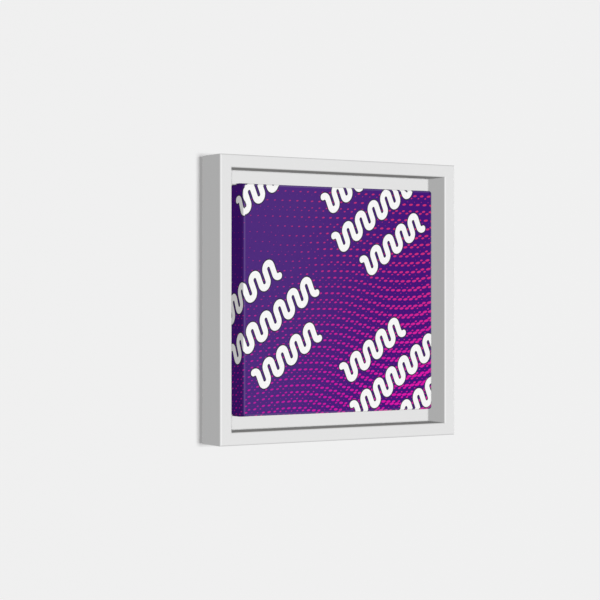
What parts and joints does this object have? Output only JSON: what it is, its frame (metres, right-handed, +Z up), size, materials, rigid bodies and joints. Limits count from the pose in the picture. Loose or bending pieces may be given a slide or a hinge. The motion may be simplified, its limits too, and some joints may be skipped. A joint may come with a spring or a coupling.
{
  "type": "stretched canvas",
  "caption": "Square printed canvas stretched on keyed wooden bars and screwed into a white floater frame with a shadow gap, D-ring hangers and wall bumpers.",
  "frame": {"origin": "on the wall plane that the four bumpers rest against, behind the centre of the frame", "axes": "+X to the right seen from the front, +Y from the front to the wall, +Z up"},
  "size_m": [0.254, 0.0375, 0.254],
  "materials": {
    "white_paint": "satin white lacquer on smooth wood",
    "pine": "planed, unfinished",
    "key_wood": "sawn, unfinished",
    "canvas_print": "matte printed cotton canvas",
    "zinc_steel": "zinc plated",
    "ring_steel": "nickel plated",
    "bumper_rubber": "clear-grey soft rubber"
  },
  "bodies": {
    "frame": {"frame_rail_top": "white_paint", "frame_rail_bottom": "white_paint", "frame_rail_left": "white_paint", "frame_rail_right": "white_paint", "stretcher_bar_top": "pine", "stretcher_bar_bottom": "pine", "stretcher_bar_left": "pine", "stretcher_bar_right": "pine", "canvas": "canvas_print", "canvas_staples": "zinc_steel", "canvas_screws": "zinc_steel", "corner_v_nails": "zinc_steel", "hanger_screws": "zinc_steel", "hanger_strap_left": "zinc_steel", "hanger_strap_right": "zinc_steel", "bumper_top_left": "bumper_rubber", "bumper_top_right": "bumper_rubber", "bumper_bottom_left": "bumper_rubber", "bumper_bottom_right": "bumper_rubber"},
    "key_top_bar_left": {"key_top_bar_left": "key_wood"},
    "key_top_bar_right": {"key_top_bar_right": "key_wood"},
    "key_bottom_bar_left": {"key_bottom_bar_left": "key_wood"},
    "key_bottom_bar_right": {"key_bottom_bar_right": "key_wood"},
    "key_left_bar_top": {"key_left_bar_top": "key_wood"},
    "key_left_bar_bottom": {"key_left_bar_bottom": "key_wood"},
    "key_right_bar_top": {"key_right_bar_top": "key_wood"},
    "key_right_bar_bottom": {"key_right_bar_bottom": "key_wood"},
    "hanger_ring_left": {"hanger_ring_left": "ring_steel"},
    "hanger_ring_right": {"hanger_ring_right": "ring_steel"}
  },
  "joints": [
    {"name": "key_top_bar_left_slide", "type": "slide", "parent": "frame", "child": "key_top_bar_left", "axis": [0, 0, -1], "range_m": [0, 0.022]},
    {"name": "key_top_bar_right_slide", "type": "slide", "parent": "frame", "child": "key_top_bar_right", "axis": [0, 0, -1], "range_m": [0, 0.022]},
    {"name": "key_bottom_bar_left_slide", "type": "slide", "parent": "frame", "child": "key_bottom_bar_left", "axis": [0, 0, 1], "range_m": [0, 0.022]},
    {"name": "key_bottom_bar_right_slide", "type": "slide", "parent": "frame", "child": "key_bottom_bar_right", "axis": [0, 0, 1], "range_m": [0, 0.022]},
    {"name": "key_left_bar_top_slide", "type": "slide", "parent": "frame", "child": "key_left_bar_top", "axis": [1, 0, 0], "range_m": [0, 0.022]},
    {"name": "key_left_bar_bottom_slide", "type": "slide", "parent": "frame", "child": "key_left_bar_bottom", "axis": [1, 0, 0], "range_m": [0, 0.022]},
    {"name": "key_right_bar_top_slide", "type": "slide", "parent": "frame", "child": "key_right_bar_top", "axis": [-1, 0, 0], "range_m": [0, 0.022]},
    {"name": "key_right_bar_bottom_slide", "type": "slide", "parent": "frame", "child": "key_right_bar_bottom", "axis": [-1, 0, 0], "range_m": [0, 0.022]},
    {"name": "hanger_ring_left_hinge", "type": "hinge", "parent": "frame", "child": "hanger_ring_left", "pos_m": [-0.1097, -0.0026, 0.042], "axis": [0, 0, 1], "range_deg": [0, 160]},
    {"name": "hanger_ring_right_hinge", "type": "hinge", "parent": "frame", "child": "hanger_ring_right", "pos_m": [0.1097, -0.0026, 0.042], "axis": [0, 0, -1], "range_deg": [0, 160]}
  ]
}
